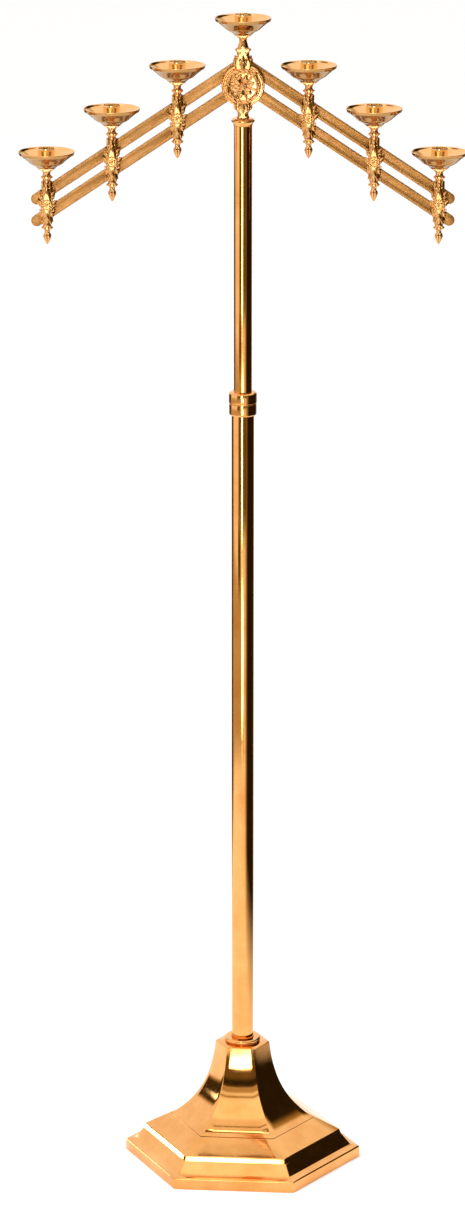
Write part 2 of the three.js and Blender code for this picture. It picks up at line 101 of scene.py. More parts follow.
def relief(tree, shader, height, strength, depth):
    """Raises a shader's surface by a height that a socket gives, to a depth in metres."""
    bump = node(tree, "ShaderNodeBump", Strength=strength, Distance=depth)
    tree.links.new(height, bump.inputs["Height"])
    tree.links.new(bump.outputs["Normal"], shader.inputs["Normal"])


def brass(name, bright, deep, gloss, rubbed, scratch, stretch):
    """Lacquered brass: clouded colour, handled patches, and fine marks drawn out along an axis."""
    material, tree, shader = new_material(name, metallic=1.0)
    shader.inputs["Coat Weight"].default_value = LACQUER
    shader.inputs["Coat Roughness"].default_value = LACQUER_ROUGHNESS
    shader.inputs["Coat IOR"].default_value = LACQUER_IOR
    place = node(tree, "ShaderNodeTexCoord").outputs["Object"]
    clouds = node(tree, "ShaderNodeTexNoise", Scale=22.0, Detail=5.0, Roughness=0.6)
    handled = node(tree, "ShaderNodeTexNoise", Scale=70.0, Detail=6.0, Roughness=0.7)
    drawn = node(tree, "ShaderNodeMapping")
    drawn.inputs["Scale"].default_value = stretch
    marks = node(tree, "ShaderNodeTexNoise", Scale=1.0, Detail=3.0, Roughness=0.6)
    for texture in (clouds, handled):
        tree.links.new(place, texture.inputs["Vector"])
    tree.links.new(place, drawn.inputs["Vector"])
    tree.links.new(drawn.outputs["Vector"], marks.inputs["Vector"])
    colour = blend_colours(tree, spread(tree, clouds.outputs["Fac"], 0, 1), bright, deep)
    tree.links.new(colour, shader.inputs["Base Color"])
    rough = spread(tree, handled.outputs["Fac"], gloss, rubbed)
    tree.links.new(rough, shader.inputs["Roughness"])
    relief(tree, shader, marks.outputs["Fac"], scratch, 0.0002)
    return material


def as_piece(name, mesh, material, body, cad_node, spot=(0, 0, 0)):
    """Puts a mesh in the scene as a piece that rides a body and stands for a CAD node.

    Like pieces share one mesh, which gets its material with the first of them.
    """
    if not mesh.materials:
        mesh.materials.append(material)
    piece = bpy.data.objects.new(name, mesh)
    bpy.context.scene.collection.objects.link(piece)
    piece.location = spot
    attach(piece, body)
    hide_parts(cad_node)


def skin(name, rings, closed=True, sharp_deg=28.0):
    """A mesh through rings of points; a closed one joins its last ring to its first."""
    mesh = bpy.data.meshes.new(name)
    count = len(rings[0])
    points = [point for ring in rings for point in ring]
    faces = []
    last = len(rings) if closed else len(rings) - 1
    for i in range(last):
        here = i * count
        there = ((i + 1) % len(rings)) * count
        for j in range(count):
            k = (j + 1) % count
            faces.append((here + j, here + k, there + k, there + j))
    mesh.from_pydata(points, [], faces)
    tidy(mesh, sharp_deg)
    return mesh


def tidy(mesh, sharp_deg):
    """Welds what meets, turns the faces outward and keeps the edges that are meant to be crisp."""
    work = bmesh.new()
    work.from_mesh(mesh)
    bmesh.ops.remove_doubles(work, verts=work.verts, dist=1e-6)
    bmesh.ops.dissolve_degenerate(work, edges=work.edges, dist=1e-7)
    bmesh.ops.recalc_face_normals(work, faces=work.faces)
    work.to_mesh(mesh)
    work.free()
    for face in mesh.polygons:
        face.use_smooth = True
    mesh.set_sharp_from_angle(angle=math.radians(sharp_deg))


def eased(outline, steps=4):
    """Rounds the corners of a closed outline of (radius, height) or (radius, height, fillet) points."""
    made = []
    for i, corner in enumerate(outline):
        here = Vector(corner[:2])
        if len(corner) < 3:
            made.append(here)
            continue
        before = Vector(outline[i - 1][:2])
        after = Vector(outline[(i + 1) % len(outline)][:2])
        reach = min(corner[2], (before - here).length * 0.48, (after - here).length * 0.48)
        start = here + (before - here).normalized() * reach
        end = here + (after - here).normalized() * reach
        for step in range(steps + 1):
            t = step / steps
            made.append(start * (1 - t) ** 2 + here * 2 * t * (1 - t) + end * t**2)
    return made


BASE_TURN = math.radians(-5)
BASE_RADIUS = 173.3
BASE_CORNER = 1.2


def hexagon_ring(radius, height, corner=BASE_CORNER, pillow=0.0):
    """A hexagon with softened corners, at a corner radius and height, its faces swelling a little.

    Each corner is a nose point set back between the ends of the two sides that are trimmed for it.
    """
    points = []
    along = 8
    for side in range(6):
        a = BASE_TURN + side * math.pi / 3
        b = a + math.pi / 3
        first = Vector((math.cos(a), math.sin(a))) * radius
        second = Vector((math.cos(b), math.sin(b))) * radius
        out = (first + second).normalized()
        run = (second - first).normalized()
        length = (second - first).length
        trim = min(corner, length * 0.1)
        nose = first - first.normalized() * trim * 0.27
        points.append((nose.x * MM, nose.y * MM, height * MM))
        for step in range(along + 1):
            t = step / along
            swell = pillow * (1 - (2 * t - 1) ** 2)
            spot = first + run * (trim + (length - 2 * trim) * t) + out * swell
            points.append((spot.x * MM, spot.y * MM, height * MM))
    return points


polished_brass = brass(
    "polished brass", POLISHED, POLISHED_DEEP, 0.035, 0.11, 0.05, (900, 900, 60)
)

plinth_outline = [
    (165.3, 0.0),
    (BASE_RADIUS, 0.0, 0.6),
    (BASE_RADIUS, 15.4, 0.9),
    (171.4, 17.2, 0.9),
    (163.2, 18.2, 0.5),
    (159.8, 19.4, 0.6),
    (158.6, 20.8, 0.8),
    (153.2, 27.2, 9.0),
    (147.3, 34.2, 0.5),
    (146.6, 34.9, 0.3),
    (144.2, 41.0, 0.4),
    (143.4, 42.2, 0.5),
    (108.0, 59.7, 0.5),
    (106.0, 60.0),
    (70.0, 60.0),
    (70.0, 57.0),
    (107.0, 57.0),
    (141.5, 38.5, 2.0),
    (141.5, 34.0),
    (150.5, 20.5, 3.0),
    (157.5, 15.0),
    (165.3, 13.0),
]
plinth = skin("base_plinth_shell", [hexagon_ring(r, z) for r, z in eased(plinth_outline)])
as_piece("base_plinth_shell", plinth, polished_brass, "stand", "base_plinth")


# ---- Spire ----
# The spire is a second hollow casting that sits on the plinth's roof. Its six faces are hollowed in
# a long flare, and hand polishing has left them very slightly pillowed from side to side.

SPIRE_FOOT = 60.3
SPIRE_TOP = 177.0
SPIRE_WALL = 4.5
FLARE_FOOT = 64.2
FLARE_STEPS = 34
NECK_RADIUS = 34.5
FLARE_SPREAD = 63.5
FLARE_RISE = 45.0
ROD_HOLE = 5.5
LID_THICK = 6.0
PILLOW = 0.7


def flare(height):
    """Corner radius of the spire at a height."""
    return NECK_RADIUS + FLARE_SPREAD * math.exp((FLARE_FOOT - height) / FLARE_RISE)


flare_length = SPIRE_TOP - 1.5 - FLARE_FOOT
flare_heights = [FLARE_FOOT + flare_length * i / FLARE_STEPS for i in range(FLARE_STEPS + 1)]
neck = flare(SPIRE_TOP)
# The foot is a thin bead on the plinth's roof, chamfered up to where the flare begins.
spire_rings = [
    hexagon_ring(90.0, SPIRE_FOOT),
    hexagon_ring(106.4, SPIRE_FOOT),
    hexagon_ring(106.6, SPIRE_FOOT + 0.2),
    hexagon_ring(103.4, SPIRE_FOOT + 1.65),
    hexagon_ring(100.4, FLARE_FOOT - 1.0),
]
spire_rings += [
    hexagon_ring(flare(z), z, 1.0, PILLOW * (z - FLARE_FOOT) / (SPIRE_TOP - FLARE_FOOT))
    for z in flare_heights
]
spire_rings += [
    hexagon_ring(neck - 0.9, SPIRE_TOP - 0.5, 1.0, 0.6),
    hexagon_ring(neck - 2.2, SPIRE_TOP, 1.0, 0.5),
    hexagon_ring(ROD_HOLE, SPIRE_TOP, 0.3),
    hexagon_ring(ROD_HOLE, SPIRE_TOP - LID_THICK, 0.3),
    hexagon_ring(neck - 7, SPIRE_TOP - LID_THICK, 1.0),
]
spire_rings += [hexagon_ring(flare(z) - SPIRE_WALL, z, 1.0) for z in reversed(flare_heights[::3])]
spire = skin("base_spire_shell", spire_rings)
as_piece("base_spire_shell", spire, polished_brass, "stand", "base_spire")


# ---- Weight, felt and tie rod ----
# A rough iron casting fills the plinth, with green felt glued across its underside. A plated rod,
# nut and washer draw the weight, the castings and the foot of the column together.

weight_material, iron_tree, iron = new_material("rough cast iron", metallic=0.7)
sand = node(iron_tree, "ShaderNodeTexNoise", Scale=260.0, Detail=6.0, Roughness=0.7)
rust = blend_colours(iron_tree, sand.outputs["Fac"], (0.022, 0.021, 0.02), (0.075, 0.06, 0.05))
iron_tree.links.new(rust, iron.inputs["Base Color"])
iron_tree.links.new(spread(iron_tree, sand.outputs["Fac"], 0.55, 0.85), iron.inputs["Roughness"])
relief(iron_tree, iron, sand.outputs["Fac"], 0.6, 0.0006)

plated_steel, steel_tree, steel = new_material("zinc plated steel", metallic=1.0)
spangle = node(steel_tree, "ShaderNodeTexVoronoi", Scale=420.0)
zinc = blend_colours(steel_tree, spangle.outputs["Distance"], (0.62, 0.62, 0.6), (0.4, 0.4, 0.39))
steel_tree.links.new(zinc, steel.inputs["Base Color"])
dulled = spread(steel_tree, spangle.outputs["Distance"], 0.22, 0.42)
steel_tree.links.new(dulled, steel.inputs["Roughness"])
threads = node(steel_tree, "ShaderNodeTexWave", bands_direction="Z", Scale=160.0, Distortion=0.3)
relief(steel_tree, steel, threads.outputs["Fac"], 0.35, 0.0003)


def finish_node(name, material):
    """Gives a carried-over CAD node its finish."""
    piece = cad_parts[name]
    piece.data.materials.clear()
    piece.data.materials.append(material)


finish_node("ballast_weight", weight_material)
for part in ("tie_rod", "tie_nut", "tie_washer"):
    finish_node(part, plated_steel)

felt, felt_tree, wool = new_material("green wool felt")
wool.inputs["Roughness"].default_value = 0.95
wool.inputs["Sheen Weight"].default_value = 0.4
fibres = node(felt_tree, "ShaderNodeTexNoise", Scale=900.0, Detail=8.0, Roughness=0.8)
green = blend_colours(felt_tree, fibres.outputs["Fac"], (0.012, 0.05, 0.022), (0.05, 0.15, 0.07))
felt_tree.links.new(green, wool.inputs["Base Color"])
relief(felt_tree, wool, fibres.outputs["Fac"], 0.8, 0.0008)

FELT_RADIUS = 150.0
FELT_CORNER = 2.0
FELT_THICK = 2.0
FELT_EDGE = 0.4
FELT_STEPS = 12


def felt_face(height, steps):
    """The rings of one face of the felt, in even steps of its radius."""
    return [hexagon_ring(FELT_RADIUS * i / FELT_STEPS, height, FELT_CORNER) for i in steps]


pad_rings = felt_face(0.0, range(1, FELT_STEPS))
pad_rings += [
    hexagon_ring(FELT_RADIUS - FELT_EDGE, 0.0, FELT_CORNER),
    hexagon_ring(FELT_RADIUS, 0.5, FELT_CORNER),
    hexagon_ring(FELT_RADIUS, FELT_THICK - 0.5, FELT_CORNER),
    hexagon_ring(FELT_RADIUS - FELT_EDGE, FELT_THICK, FELT_CORNER),
]
pad_rings += felt_face(FELT_THICK, range(FELT_STEPS - 1, 0, -1))
pad = skin("felt_pad", pad_rings, closed=False)
pad_mesh = bmesh.new()
pad_mesh.from_mesh(pad)
bmesh.ops.holes_fill(pad_mesh, edges=pad_mesh.edges)
bmesh.ops.recalc_face_normals(pad_mesh, faces=pad_mesh.faces)
pad_mesh.to_mesh(pad)
pad_mesh.free()
as_piece("felt_pad", pad, felt, "stand", "base_felt")


# ---- Column tubes, collars and cap ----
# The column is two drawn brass tubes, one sliding in the other, polished along their length. The
# rings at the base, at the slide and at the head are turned from bar on a lathe.

tube_brass = brass("polished tube", POLISHED, POLISHED_DEEP, 0.03, 0.085, 0.03, (900, 900, 12))
turned_brass = brass("turned brass", POLISHED, POLISHED_DEEP, 0.05, 0.12, 0.06, (60, 60, 2500))


def turned(name, outline, sides=96, sharp_deg=28.0, shape=None):
    """A piece turned about the column's axis from an outline in millimetres."""
    rings = []
    for radius, height in eased(outline):
        ring = []
        for i in range(sides):
            angle = 2 * math.pi * i / sides
            r = radius if shape is None else shape(radius, height, angle)
            ring.append((r * math.cos(angle) * MM, r * math.sin(angle) * MM, height * MM))
        rings.append(ring)
    return skin(name, rings, sharp_deg=sharp_deg)


FIT_GAP = 0.3
TUBE_WALL = 1.5
LOWER_RADIUS = 31.75 / 2
LOWER_TUBE_TOP = 1134.0
UPPER_RADIUS = 25.4 / 2
UPPER_TUBE_FOOT = 740.0
UPPER_TUBE_TOP = 1536.8


def tube(name, outer, foot, top):
    """A drawn tube between two heights, with its sawn ends dressed."""
    inner = outer - TUBE_WALL
    outline = [(inner, foot), (outer, foot, 0.4), (outer, top, 0.4), (inner, top, 0.4)]
    return turned(name, outline, sides=128)


lower = tube("column_lower", LOWER_RADIUS, SPIRE_TOP + FIT_GAP, LOWER_TUBE_TOP)
as_piece("column_lower", lower, tube_brass, "stand", "lower_tube")
upper = tube("column_upper", UPPER_RADIUS, UPPER_TUBE_FOOT, UPPER_TUBE_TOP)
as_piece("column_upper", upper, tube_brass, "head", "upper_tube")

base_ring = turned(
    "base_ring",
    [
        (LOWER_RADIUS + FIT_GAP, SPIRE_TOP + FIT_GAP),
        (24.6, SPIRE_TOP + FIT_GAP, 0.5),
        (25.2, 178.8, 0.5),
        (26.3, 179.4, 0.6),
        (26.3, 183.2, 1.0),
        (24.6, 184.7, 0.8),
        (17.6, 184.5, 0.4),
        (LOWER_RADIUS + FIT_GAP, 183.9),
    ],
)
as_piece("base_ring", base_ring, turned_brass, "stand", "base_collar")

COLLAR_FOOT = 1122.0
COLLAR_TOP = 1155.5
COLLAR_RADIUS = 19.75
slide_collar = turned(
    "slide_collar",
    [
        (LOWER_RADIUS + FIT_GAP, COLLAR_FOOT),
        (18.0, COLLAR_FOOT, 0.4),
        (COLLAR_RADIUS - 0.4, COLLAR_FOOT + 1.6, 0.6),
        (COLLAR_RADIUS - 0.4, 1138.4, 0.3),
        (COLLAR_RADIUS - 1.0, 1138.9),
        (COLLAR_RADIUS - 1.0, 1139.6),
        (COLLAR_RADIUS, 1140.1, 0.3),
        (COLLAR_RADIUS, COLLAR_TOP - 1.8, 0.9),
        (COLLAR_RADIUS - 2.2, COLLAR_TOP, 0.6),
        (UPPER_RADIUS + FIT_GAP, COLLAR_TOP, 0.3),
        (UPPER_RADIUS + FIT_GAP, LOWER_TUBE_TOP + FIT_GAP),
        (LOWER_RADIUS + FIT_GAP, LOWER_TUBE_TOP + FIT_GAP),
    ],
)
as_piece("slide_collar", slide_collar, turned_brass, "stand", "lock_collar")

SPIGOT_RADIUS = 10.7
SPIGOT_FOOT = 1514.8
CAP_FOOT = UPPER_TUBE_TOP + FIT_GAP
CAP_TOP = 1547.3
cap = turned(
    "column_cap_ring",
    [
        (0.01, SPIGOT_FOOT),
        (SPIGOT_RADIUS, SPIGOT_FOOT, 0.5),
        (SPIGOT_RADIUS, CAP_FOOT),
        (13.1, CAP_FOOT, 0.3),
        (13.5, 1539.0, 0.5),
        (14.2, 1540.8, 1.2),
        (16.25, 1542.6, 0.9),
        (16.25, 1545.4, 1.0),
        (14.6, 1546.3, 0.5),
        (13.6, CAP_TOP, 0.5),
        (0.01, CAP_TOP),
    ],
)
as_piece("column_cap_ring", cap, turned_brass, "head", "column_cap")
finish_node("tube_plug", turned_brass)
finish_node("guide_bush", turned_brass)


# ---- Thumbscrew and clamp nut ----
# Two knurled brass hand screws are hidden at the back: one locks the slide, the other grips the
# arms. Each is turned and then rolled between wheels that press the diamond knurl into its rim.

KNURLS = 30
KNURL_DEPTH = 0.35
KNURL_LEAD = 2.04


def knurl(low, high):
    """Shapes a turned rim into rows of small diamonds between two heights."""

    def shape(radius, height, angle):
        if not low <= height <= high:
            return radius
        lead = (height - low) * KNURL_LEAD
        ridge = math.cos(KNURLS * angle + lead) * math.cos(KNURLS * angle - lead)
        return radius - KNURL_DEPTH * (0.5 - 0.5 * ridge)

    return shape


def stretch_steps(outline, low, high, steps):
    """Adds heights between two points of an outline, so that a knurl has rows to sit on."""
    made = []
    for i, corner in enumerate(outline):
        made.append(corner)
        after = outline[(i + 1) % len(outline)]
        if corner[1] == low and after[1] == high:
            made += [(corner[0], low + (high - low) * k / steps) for k in range(1, steps)]
    return made


def laid_back(mesh, x, y, z):
    """Lays a piece that was turned about +Z down along +Y, its foot at a point in millimetres."""
    mesh.transform(Matrix.Translation((x * MM, y * MM, z * MM)) @ Matrix.Rotation(-math.pi / 2, 4, "X"))


def hand_screw(name, outline, low, high, steps, y, z, body, cad_node):
    """A screw or nut that lies along +Y, its rim knurled almost from one height to another."""
    rows = stretch_steps(outline, low, high, steps)
    shape = knurl(low + 0.2, high - 0.2)
    mesh = turned(name, rows, sides=240, sharp_deg=50, shape=shape)
    laid_back(mesh, 0, y, z)
    as_piece(name, mesh, turned_brass, body, cad_node)


SCREW_HEIGHT = 1145.0
SCREW_RIM = (12.8, 19.6)
screw_outline = [
    (0.01, 0.0),
    (3.0, 0.0, 0.3),
    (3.0, 7.05),
    (5.2, 7.05, 0.4),
    (4.6, 10.4, 1.0),
    (8.2, 12.0, 0.5),
    (9.0, SCREW_RIM[0]),
    (9.0, SCREW_RIM[1]),
    (8.0, 21.2, 0.6),
    (0.01, 21.5),
]
screw_foot = UPPER_RADIUS + FIT_GAP
hand_screw(
    "slide_thumbscrew", screw_outline, *SCREW_RIM, 14, screw_foot, SCREW_HEIGHT,
    "thumbscrew", "collar_thumbscrew",
)

UPPER_PIVOT = 1624.0
PIVOT_DROP = 31.0
LOWER_PIVOT = UPPER_PIVOT - PIVOT_DROP
CLAMP_BORE = 4.3
NUT_RIM = (4.4, 10.4)
nut_outline = [
    (CLAMP_BORE, 0.0),
    (7.0, 0.0, 0.3),
    (7.0, 2.6, 0.5),
    (10.2, 3.6, 0.5),
    (11.0, NUT_RIM[0]),
    (11.0, NUT_RIM[1]),
    (9.8, 12.0, 0.6),
    (CLAMP_BORE, 12.0, 0.3),
]
nut_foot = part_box("arm_clamp_nut")[0].y / MM
hand_screw(
    "clamp_hand_nut", nut_outline, *NUT_RIM, 12, nut_foot, LOWER_PIVOT,
    "clamp_nut", "arm_clamp_nut",
)


# ---- Flat bars ----
# Four lengths of flat brass bar make the two folding arms. They are sawn, rounded and drilled, their
# edges just broken with a file, then brushed to a fine grain and given a satin lacquer.

BAR_HALF = 8.0
BAR_THICK = 3.0
PITCH = 110.1
DROOP = math.radians(33.7)
BAR_TAIL = 17.5
PIVOT_BORE = 3.3
STAY_BORE = 3.5
BORE_SIDES = 24
END_STEPS = 20
bar_brass = brass(
    "satin bar",
    (0.385, 0.182, 0.05),
    (0.325, 0.143, 0.035),
    0.34,
    0.46,
    0.22,
    (40, 900, 900),
)


def bar_mesh(name, hub_hole, pin_hole):
    """A bar along +X from its hub pivot, standing on y = 0, with a hole at each pivot."""
    work = bmesh.new()
    end = 3 * PITCH + BAR_TAIL
    rim = []
    for middle, first in ((0, math.pi / 2), (end, -math.pi / 2)):
        for i in range(END_STEPS + 1):
            a = first + math.pi * i / END_STEPS
            rim.append((middle + BAR_HALF * math.cos(a), BAR_HALF * math.sin(a)))
    loops = [rim]
    for i in range(4):
        r = hub_hole if i == 0 else pin_hole
        angles = [2 * math.pi * k / BORE_SIDES for k in range(BORE_SIDES)]
        loops.append([(i * PITCH + r * math.cos(a), r * math.sin(a)) for a in angles])
    edges = []
    for loop in loops:
        verts = [work.verts.new((x * MM, 0, z * MM)) for x, z in loop]
        for i, vert in enumerate(verts):
            edges.append(work.edges.new((vert, verts[(i + 1) % len(verts)])))
    bmesh.ops.triangle_fill(work, edges=edges, use_beauty=True)
    raised = bmesh.ops.extrude_face_region(work, geom=work.faces[:])
    lifted = [v for v in raised["geom"] if isinstance(v, bmesh.types.BMVert)]
    bmesh.ops.translate(work, verts=lifted, vec=(0, BAR_THICK * MM, 0))
    bmesh.ops.recalc_face_normals(work, faces=work.faces)
    rims = [
        edge
        for edge in work.edges
        if len(edge.link_faces) == 2 and edge.calc_face_angle() > math.radians(60)
    ]
    bmesh.ops.bevel(work, geom=rims, offset=0.35 * MM, segments=2, profile=0.6, affect="EDGES")
    mesh = bpy.data.meshes.new(name)
    work.to_mesh(mesh)
    work.free()
    tidy(mesh, 30)
    return mesh


for side, direction in (("left", -1), ("right", 1)):
    for level, pivot, hub_hole, pin_hole, body in (
        ("upper", UPPER_PIVOT, PIVOT_BORE, PIVOT_BORE, side + "_arm"),
        ("lower", LOWER_PIVOT, CLAMP_BORE, STAY_BORE, side + "_stay"),
    ):
        node_name = f"{side}_{level}_bar"
        bar_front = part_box(node_name)[0].y
        mesh = bar_mesh(node_name + "_flat", hub_hole, pin_hole)
        turn = DROOP if direction > 0 else math.pi - DROOP
        mesh.transform(
            Matrix.Translation((0, bar_front, pivot * MM)) @ Matrix.Rotation(turn, 4, "Y")
        )
        as_piece(node_name + "_flat", mesh, bar_brass, body, node_name)


# ---- Drip pans and candle sockets ----
# Each pan is spun from sheet over a chuck, which leaves fine rings, and has a rolled rim. A turned
# socket stands in it, and a stud from the casting below holds both down.

PAN_RADIUS = 39.6
# Brown painted as shade on the down-facing undersides of the pans.
PAN_UNDERSIDE_SHADE = (0.46, 0.23, 0.06)
STUD_BORE = 3.4


def ramp(tree, value, low, high):
    """A soft step from 0 at low to 1 at high; it falls instead where low is the higher."""
    stepped = node(tree, "ShaderNodeMapRange", interpolation_type="SMOOTHSTEP")
    tree.links.new(value, stepped.inputs["Value"])
    start, end = sorted((low, high))
    stepped.inputs["From Min"].default_value = start
    stepped.inputs["From Max"].default_value = end
    stepped.inputs["To Min"].default_value = 0.0 if low < high else 1.0
    stepped.inputs["To Max"].default_value = 1.0 if low < high else 0.0
    return stepped.outputs["Result"]


def tone_down(material, polish_and_light, patina_and_shade):
    """Turns a brass to a darker colour where a share that a socket gives is 0: real patina in a
    casting's hollows, painted shade on a pan's underside.
    """
    tree = material.node_tree
    base = tree.nodes["Principled BSDF"].inputs["Base Color"]
    darkening = node(tree, "ShaderNodeMix", data_type="RGBA")
    darkening.inputs[6].default_value = (*patina_and_shade, 1)
    tree.links.new(polish_and_light, darkening.inputs[0])
    tree.links.new(base.links[0].from_socket, darkening.inputs[7])
    tree.links.new(darkening.outputs[2], base)


# Where a pan faces down, its colour is darkened to a brown as painted shade on its underside.
pan_brass = brass("spun pan", (0.95, 0.55, 0.24), (0.86, 0.45, 0.16), 0.09, 0.17, 0.10, (90, 90, 90))
pan_tree = pan_brass.node_tree
pan_facing = node(pan_tree, "ShaderNodeSeparateXYZ")
pan_tree.links.new(node(pan_tree, "ShaderNodeTexCoord").outputs["Normal"], pan_facing.inputs[0])
# Painted shade: the brown is laid where the pan's faces point down.
tone_down(pan_brass, ramp(pan_tree, pan_facing.outputs["Z"], -0.5, 0.0), PAN_UNDERSIDE_SHADE)
socket_brass = brass(
    "bright socket", (0.97, 0.76, 0.46), (0.92, 0.66, 0.34), 0.06, 0.14, 0.06, (60, 60, 2500)
)
PAN_OUTLINE = [
    (STUD_BORE, -24.0),
    (12.3, -24.0, 0.8),
    (13.2, -23.0, 0.5),
    (15.4, -20.7, 0.5),
    (20.5, -18.2, 2.0),
    (24.6, -15.5, 0.6),
    (25.4, -14.4, 0.4),
    (31.4, -9.2, 2.0),
    (36.2, -5.6, 0.8),
    (38.2, -4.7, 0.5),
    (PAN_RADIUS, -0.8, 0.5),
    (PAN_RADIUS, -0.2, 0.4),
    (38.6, 0.0, 0.6),
    (37.9, -1.1, 0.5),
    (36.9, -3.2, 0.8),
    (33.4, -5.6, 3.0),
    (27.8, -9.6, 3.0),
    (18.2, -17.2, 3.0),
    (13.6, -21.6, 1.5),
    (12.4, -22.5, 0.6),
    (STUD_BORE, -22.5),
]
SOCKET_OUTLINE = [
    (STUD_BORE, -22.2),
    (12.2, -22.2, 0.4),
    (12.2, -20.6, 0.4),
    (11.9, -20.0, 0.4),
    (11.9, 2.0, 0.6),
    (12.25, 2.8, 0.5),
    (12.25, 4.6, 0.5),
    (11.3, 4.6, 0.4),
    (11.3, -19.2),
    (0.01, -19.2),
    (0.01, -20.2),
    (STUD_BORE, -20.2),
]
pan_mesh = turned("spun_pan", PAN_OUTLINE, sides=96, sharp_deg=40)
socket_mesh = turned("socket_cup", SOCKET_OUTLINE, sides=64, sharp_deg=40)

SIDES = [(side, place) for side in ("left", "right") for place in ("inner", "middle", "outer")]

for name, body in [("centre", "head")] + [(f"{s}_{p}", f"{s}_{p}_light") for s, p in SIDES]:
    low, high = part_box(name + "_drip_pan")
    rim = ((low.x + high.x) / 2, 0, high.z)
    for part, mesh, material, cad_name in (
        ("pan", pan_mesh, pan_brass, "drip_pan"),
        ("socket", socket_mesh, socket_brass, "candle_socket"),
    ):
        cad_node = f"{name}_{cad_name}"
        as_piece(f"{name}_{part}", mesh, material, body, cad_node, spot=rim)


# ---- Rivets ----
# Domed brass rivets pin every holder to its two bars. Those of the right arm have a shoulder that
# spaces the casting off its bars, which lie behind the left ones at the hub.

CASTING_BACK = 7.0
RIVET_FRONT = 2.0


def rivet_mesh(name, bar_front):
    """A rivet from inside the casting to its dome behind the bar."""
    head = bar_front + BAR_THICK + FIT_GAP - RIVET_FRONT
    shoulder_foot = CASTING_BACK + FIT_GAP - RIVET_FRONT
    shoulder_top = bar_front - FIT_GAP - RIVET_FRONT
    outline = [(0.01, 0.0), (3.0, 0.0, 0.3)]
    if shoulder_top > shoulder_foot + 1:
        outline += [
            (3.0, shoulder_foot),
            (5.5, shoulder_foot, 0.4),
            (5.5, shoulder_top, 0.4),
            (3.0, shoulder_top),
        ]
    outline += [
        (3.0, head),
        (5.4, head, 0.3),
        (5.3, head + 1.0, 0.6),
        (3.9, head + 2.1, 1.2),
        (0.01, head + 2.5),
    ]
    mesh = turned(name, outline, sides=40, sharp_deg=40)
    laid_back(mesh, 0, 0, 0)
    return mesh


rivets = {}
for side in ("left", "right"):
    rivets[side] = rivet_mesh(side + "_rivet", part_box(side + "_upper_bar")[0].y / MM)
for side, place in SIDES:
    body = f"{side}_{place}_light"
    for level in ("upper", "lower"):
        name = f"{side}_{place}_{level}"
        low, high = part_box(name + "_pin")
        foot = ((low.x + high.x) / 2, low.y, (low.z + high.z) / 2)
        as_piece(
            name + "_rivet", rivets[side], turned_brass, body, name + "_pin",
            spot=foot,
        )


# ---- Holder castings ----
# Six upright holders are sand-cast in brass, burnished on the high parts and darker in the hollows.
# Leaves climb a slim, flat-backed baluster, a rosette sits between the rivets, a bud hangs below.

PATINA = (0.36, 0.14, 0.028)
cast_brass = brass(
    "cast and burnished", (0.88, 0.50, 0.20), (0.76, 0.36, 0.11), 0.13, 0.25, 0.30, (420, 420, 420)
)
cast_tree = cast_brass.node_tree
pointiness = node(cast_tree, "ShaderNodeNewGeometry").outputs["Pointiness"]
tone_down(cast_brass, ramp(cast_tree, pointiness, 0.40, 0.50), PATINA)

CASTING_FRONT = -7.0
LEAF_THICK = 1.4


def sheet(work, rows, wrap_rows=False, wrap_columns=False):
    """Adds a grid of points, in millimetres, to a mesh in the making."""
    made = [[work.verts.new(Vector(point) * MM) for point in row] for row in rows]
    for i in range(len(made) - (0 if wrap_rows else 1)):
        here, there = made[i], made[(i + 1) % len(made)]
        for j in range(len(here) - (0 if wrap_columns else 1)):
            k = (j + 1) % len(here)
            work.faces.new((here[j], here[k], there[k], there[j]))


def leaf(work, root, tip, width, rise, lobes=3, curl=0.0, normal=(0, -1, 0)):
    """A closed acanthus leaf with lobed edges, a raised midrib and a sunk vein to each lobe."""
    root, tip, out = Vector(root), Vector(tip), Vector(normal).normalized()
    spine = tip - root
    side = spine.normalized().cross(out)
    along, across = 22, 12
    front, back = [], []
    for i in range(along + 1):
        u = i / along
        full = math.sin(math.pi * (0.12 + 0.88 * u)) ** 0.65 if i < along else 0.0
        notch = abs(math.sin(math.pi * lobes * u)) ** 0.6
        half = width / 2 * full * (0.70 + 0.30 * notch)
        hump = rise * math.sin(math.pi * (0.15 + 0.75 * u)) + curl * u**3
        face, rear = [], []
        for j in range(across + 1):
            v = -1 + 2 * j / across
            arch = hump * (1 - 0.5 * v * v)
            vein = 0.5 + 0.5 * math.cos(2 * math.pi * (lobes * u - 0.5 * abs(v)))
            rib = max(0.0, 1 - abs(v) * 5) * 0.35 * (1 - u)
            lift = arch + rib * rise * 0.6 - vein * abs(v) * (1 - u * 0.5) * rise * 0.34
            place = root + spine * (u + 0.05 * abs(v) * (notch - 0.5) * (1 - u)) + side * v * half
            face.append(place + out * lift)
            rear.append(place + out * (curl * u**3 - LEAF_THICK))
        front.append(face)
        back.append(rear)
    rows = [face + rear[::-1] for face, rear in zip(front, back)]
    sheet(work, rows, wrap_columns=True)
    sheet(work, [front[0], back[0]])


def boss(work, x, z, outline, petals=0, depth=0.0):
    """A button facing -Y, turned from (radius, distance in front) points, with petals cut round it."""
    rows = []
    for radius, ahead in eased(outline, 3):
        row = []
        for i in range(48):
            angle = 2 * math.pi * i / 48
            wave = abs(math.sin(petals * angle / 2)) if petals else 1.0
            r = radius * (1 - depth * (1 - wave**0.6))
            row.append((x + r * math.cos(angle), -ahead, z + r * math.sin(angle)))
        rows.append(row)
    sheet(work, rows, wrap_rows=True, wrap_columns=True)


